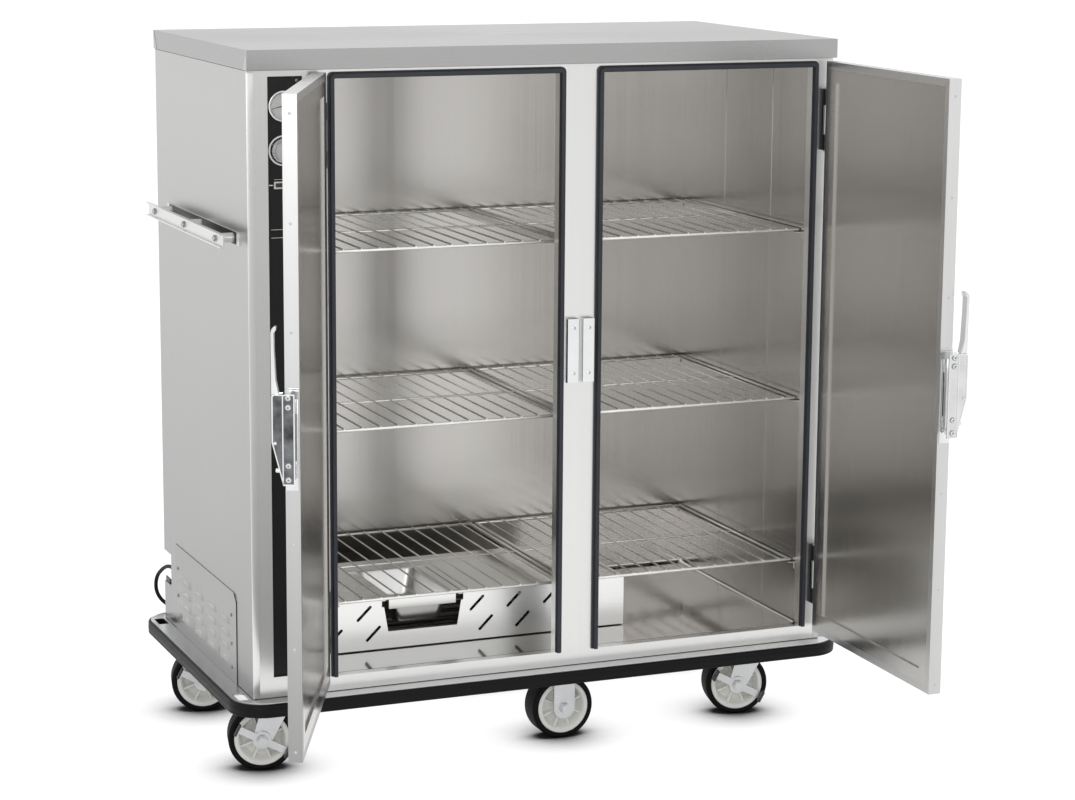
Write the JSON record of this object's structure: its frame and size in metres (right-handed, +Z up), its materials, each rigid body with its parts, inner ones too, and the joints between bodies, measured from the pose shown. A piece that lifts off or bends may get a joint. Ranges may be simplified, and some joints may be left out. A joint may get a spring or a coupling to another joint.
{
  "type": "heated banquet cabinet",
  "caption": "Stainless heated banquet cabinet with two doors, wire shelves, water pan, push handles, bumper and casters.",
  "frame": {"origin": "on the floor under the middle of the cabinet's body", "axes": "+X to the right along the front, +Y to the back, +Z up"},
  "size_m": [1.3396, 1.3592, 1.361],
  "materials": {
    "body_steel": "brushed stainless sheet, grain along the longer side",
    "liner_steel": "bright smooth stainless sheet",
    "rail_aluminium": "satin",
    "bumper_vinyl": "smooth black vinyl",
    "gasket_rubber": "matt dark grey",
    "chrome_wire": "bright plated wire",
    "latch_chrome": "satin plated casting",
    "hinge_black": "satin black",
    "panel_black": "matt black",
    "dial_white": "white enamel with black marks",
    "needle_black": "matt",
    "lens_glass": "clear",
    "knob_metal": "turned, satin",
    "switch_white": "moulded",
    "switch_black": "moulded",
    "element_steel": "heat-darkened steel sheath",
    "zinc": "bright zinc plate",
    "wheel_plastic": "cream moulded hub in a black tread",
    "cord_black": "matt black sheath",
    "plug_black": "moulded black",
    "bracket_grey": "satin"
  },
  "bodies": {
    "cabinet": {"base_frame": "rail_aluminium", "bumper": "bumper_vinyl", "left_side_panel": "body_steel", "right_side_panel": "body_steel", "back_panel": "body_steel", "top_cap": "body_steel", "face_frame": "body_steel", "interior_liner": "liner_steel", "service_panel": "body_steel", "push_handles": "body_steel", "door_gaskets": "gasket_rubber", "strike_plates": "latch_chrome", "hinge_frame_leaves": "hinge_black", "hinge_pins": "zinc", "control_panel": "panel_black", "thermometer_case": "knob_metal", "thermometer_dial": "dial_white", "thermometer_lens": "lens_glass", "thermostat_scale": "dial_white", "switch_frame": "switch_white", "shelf_supports": "liner_steel", "top_shelves": "chrome_wire", "middle_shelves": "chrome_wire", "lower_shelves": "chrome_wire", "heater_cover": "liner_steel", "heating_element": "element_steel", "panel_screws": "zinc", "caster_mounts": "zinc", "rigid_forks": "zinc", "cord_gland": "plug_black", "cord_clip": "bracket_grey", "cord": "cord_black", "cord_coil": "cord_black", "plug": "plug_black"},
    "thermometer_needle": {"thermometer_needle": "needle_black"},
    "thermostat_knob": {"thermostat_knob": "knob_metal"},
    "power_rocker": {"power_rocker": "switch_black"},
    "water_pan": {"water_pan": "liner_steel"},
    "left_door": {"left_door_shell": "body_steel", "left_door_liner": "liner_steel", "left_latch_body": "latch_chrome"},
    "left_lever": {"left_latch_lever": "latch_chrome"},
    "right_door": {"right_door_shell": "body_steel", "right_door_liner": "liner_steel", "right_latch_body": "latch_chrome"},
    "right_lever": {"right_latch_lever": "latch_chrome"},
    "front_rigid_wheel": {"front_rigid_wheel": "wheel_plastic"},
    "rear_rigid_wheel": {"rear_rigid_wheel": "wheel_plastic"},
    "front_left_caster": {"front_left_fork": "zinc"},
    "front_left_wheel": {"front_left_wheel": "wheel_plastic"},
    "front_left_brake": {"front_left_brake": "zinc"},
    "front_right_caster": {"front_right_fork": "zinc"},
    "front_right_wheel": {"front_right_wheel": "wheel_plastic"},
    "front_right_brake": {"front_right_brake": "zinc"},
    "rear_left_caster": {"rear_left_fork": "zinc"},
    "rear_left_wheel": {"rear_left_wheel": "wheel_plastic"},
    "rear_left_brake": {"rear_left_brake": "zinc"},
    "rear_right_caster": {"rear_right_fork": "zinc"},
    "rear_right_wheel": {"rear_right_wheel": "wheel_plastic"},
    "rear_right_brake": {"rear_right_brake": "zinc"}
  },
  "joints": [
    {"name": "left_door_hinge", "type": "hinge", "parent": "cabinet", "child": "left_door", "pos_m": [-0.456, -0.3305, 0.745], "axis": [0, 0, -1], "range_deg": [-114, 11]},
    {"name": "right_door_hinge", "type": "hinge", "parent": "cabinet", "child": "right_door", "pos_m": [0.577, -0.3305, 0.745], "axis": [0, 0, 1], "range_deg": [-89, 36]},
    {"name": "left_latch", "type": "hinge", "parent": "left_door", "child": "left_lever", "pos_m": [-0.6874, -0.77206, 0.805], "axis": [-0.4067, -0.9135, 0], "range_deg": [0, 25], "stiffness_Nm_per_rad": 0.3},
    {"name": "right_latch", "type": "hinge", "parent": "right_door", "child": "right_lever", "pos_m": [0.60011, -0.82848, 0.805], "axis": [0.0175, 0.9998, 0], "range_deg": [0, 25], "stiffness_Nm_per_rad": 0.3},
    {"name": "thermometer_pointer", "type": "hinge", "parent": "cabinet", "child": "thermometer_needle", "pos_m": [-0.528, -0.313, 1.258], "axis": [0, 1, 0], "range_deg": [-32, 238], "stiffness_Nm_per_rad": 0.002},
    {"name": "thermostat_turn", "type": "hinge", "parent": "cabinet", "child": "thermostat_knob", "pos_m": [-0.528, -0.32, 1.177], "axis": [0, 1, 0], "range_deg": [0, 300]},
    {"name": "power_switch", "type": "hinge", "parent": "cabinet", "child": "power_rocker", "pos_m": [-0.536, -0.309, 1.114], "axis": [0, 0, 1], "range_deg": [0, 12]},
    {"name": "pan_slide", "type": "slide", "parent": "cabinet", "child": "water_pan", "axis": [0, -1, 0], "range_m": [0, 0.2]},
    {"name": "front_left_swivel", "type": "hinge", "parent": "cabinet", "child": "front_left_caster", "pos_m": [-0.543, -0.282, 0.136], "axis": [0, 0, 1], "continuous": true},
    {"name": "front_left_axle", "type": "hinge", "parent": "front_left_caster", "child": "front_left_wheel", "pos_m": [-0.57223, -0.27525, 0.0635], "axis": [0.225, 0.9744, 0], "continuous": true},
    {"name": "front_left_brake_pedal", "type": "hinge", "parent": "front_left_caster", "child": "front_left_brake", "pos_m": [-0.57223, -0.27525, 0.0635], "axis": [-0.225, -0.9744, 0], "range_deg": [0, 18]},
    {"name": "front_right_swivel", "type": "hinge", "parent": "cabinet", "child": "front_right_caster", "pos_m": [0.458, -0.282, 0.136], "axis": [0, 0, 1], "continuous": true},
    {"name": "front_right_axle", "type": "hinge", "parent": "front_right_caster", "child": "front_right_wheel", "pos_m": [0.42877, -0.27525, 0.0635], "axis": [0.225, 0.9744, 0], "continuous": true},
    {"name": "front_right_brake_pedal", "type": "hinge", "parent": "front_right_caster", "child": "front_right_brake", "pos_m": [0.42877, -0.27525, 0.0635], "axis": [-0.225, -0.9744, 0], "range_deg": [0, 18]},
    {"name": "rear_left_swivel", "type": "hinge", "parent": "cabinet", "child": "rear_left_caster", "pos_m": [-0.543, 0.122, 0.136], "axis": [0, 0, 1], "continuous": true},
    {"name": "rear_left_axle", "type": "hinge", "parent": "rear_left_caster", "child": "rear_left_wheel", "pos_m": [-0.57223, 0.12875, 0.0635], "axis": [0.225, 0.9744, 0], "continuous": true},
    {"name": "rear_left_brake_pedal", "type": "hinge", "parent": "rear_left_caster", "child": "rear_left_brake", "pos_m": [-0.57223, 0.12875, 0.0635], "axis": [-0.225, -0.9744, 0], "range_deg": [0, 18]},
    {"name": "rear_right_swivel", "type": "hinge", "parent": "cabinet", "child": "rear_right_caster", "pos_m": [0.458, 0.122, 0.136], "axis": [0, 0, 1], "continuous": true},
    {"name": "rear_right_axle", "type": "hinge", "parent": "rear_right_caster", "child": "rear_right_wheel", "pos_m": [0.42877, 0.12875, 0.0635], "axis": [0.225, 0.9744, 0], "continuous": true},
    {"name": "rear_right_brake_pedal", "type": "hinge", "parent": "rear_right_caster", "child": "rear_right_brake", "pos_m": [0.42877, 0.12875, 0.0635], "axis": [-0.225, -0.9744, 0], "range_deg": [0, 18]},
    {"name": "front_rigid_axle", "type": "hinge", "parent": "cabinet", "child": "front_rigid_wheel", "pos_m": [0.033, -0.294, 0.0635], "axis": [0, 1, 0], "continuous": true},
    {"name": "rear_rigid_axle", "type": "hinge", "parent": "cabinet", "child": "rear_rigid_wheel", "pos_m": [0.033, 0.122, 0.0635], "axis": [0, 1, 0], "continuous": true}
  ]
}
